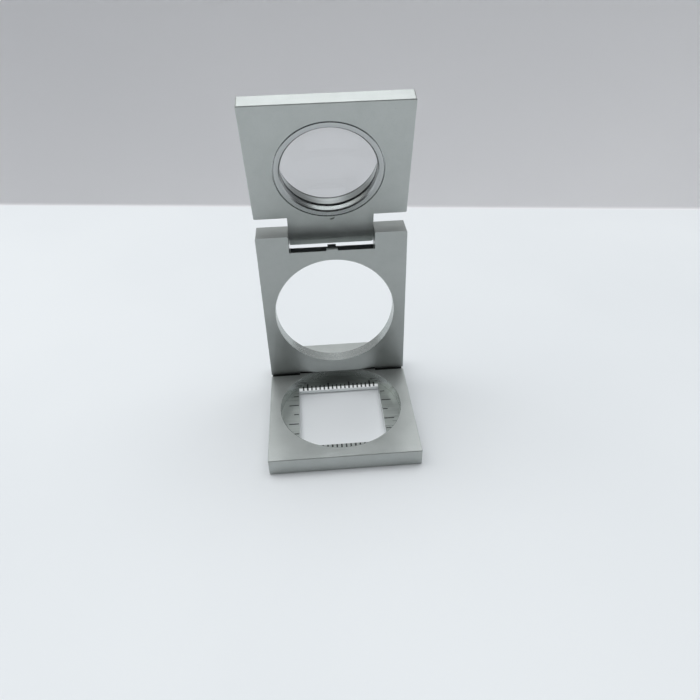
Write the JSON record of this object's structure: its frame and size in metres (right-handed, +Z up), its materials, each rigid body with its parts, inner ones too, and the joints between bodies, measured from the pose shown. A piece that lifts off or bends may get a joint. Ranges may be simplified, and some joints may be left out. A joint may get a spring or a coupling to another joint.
{
  "type": "folding thread counter magnifier",
  "caption": "Folding pocket magnifier: flat base with a square graduated aperture, windowed upright and hinged lens plate.",
  "frame": {"origin": "centre of the base's underside", "axes": "+Z up along the upright, +Y to the rear where the hinges are, +X to the right seen from the front"},
  "size_m": [0.032, 0.0366, 0.0684],
  "materials": {
    "satin_alloy": "satin silver-grey, fine blasted texture",
    "scale_metal": "satin",
    "black_ink": "matt black ink",
    "pin_steel": "ground",
    "spring_steel": "blackened, semi-matt",
    "polished_ring": "turned and polished",
    "lens_glass": "clear, polished"
  },
  "bodies": {
    "base": {"base_frame": "satin_alloy", "scale_plate": "scale_metal", "metric_graduations": "black_ink", "inch_graduations": "black_ink"},
    "upright": {"upright_frame": "satin_alloy", "base_hinge_pins": "pin_steel", "lens_hinge_pin": "pin_steel", "upper_leaf_spring": "spring_steel", "spring_rivet": "spring_steel"},
    "lens_plate": {"lens_frame": "satin_alloy", "front_bezel_ring": "polished_ring", "magnifier_lens": "lens_glass", "rear_bezel_ring": "polished_ring"}
  },
  "joints": [
    {"name": "base_hinge", "type": "hinge", "parent": "base", "child": "upright", "pos_m": [0, 0.01225, 0.00575], "axis": [1, 0, 0], "range_deg": [0, 90]},
    {"name": "lens_hinge", "type": "hinge", "parent": "upright", "child": "lens_plate", "pos_m": [0, 0.0156, 0.0382], "axis": [-1, 0, 0], "range_deg": [-72.4, 197.6]}
  ]
}
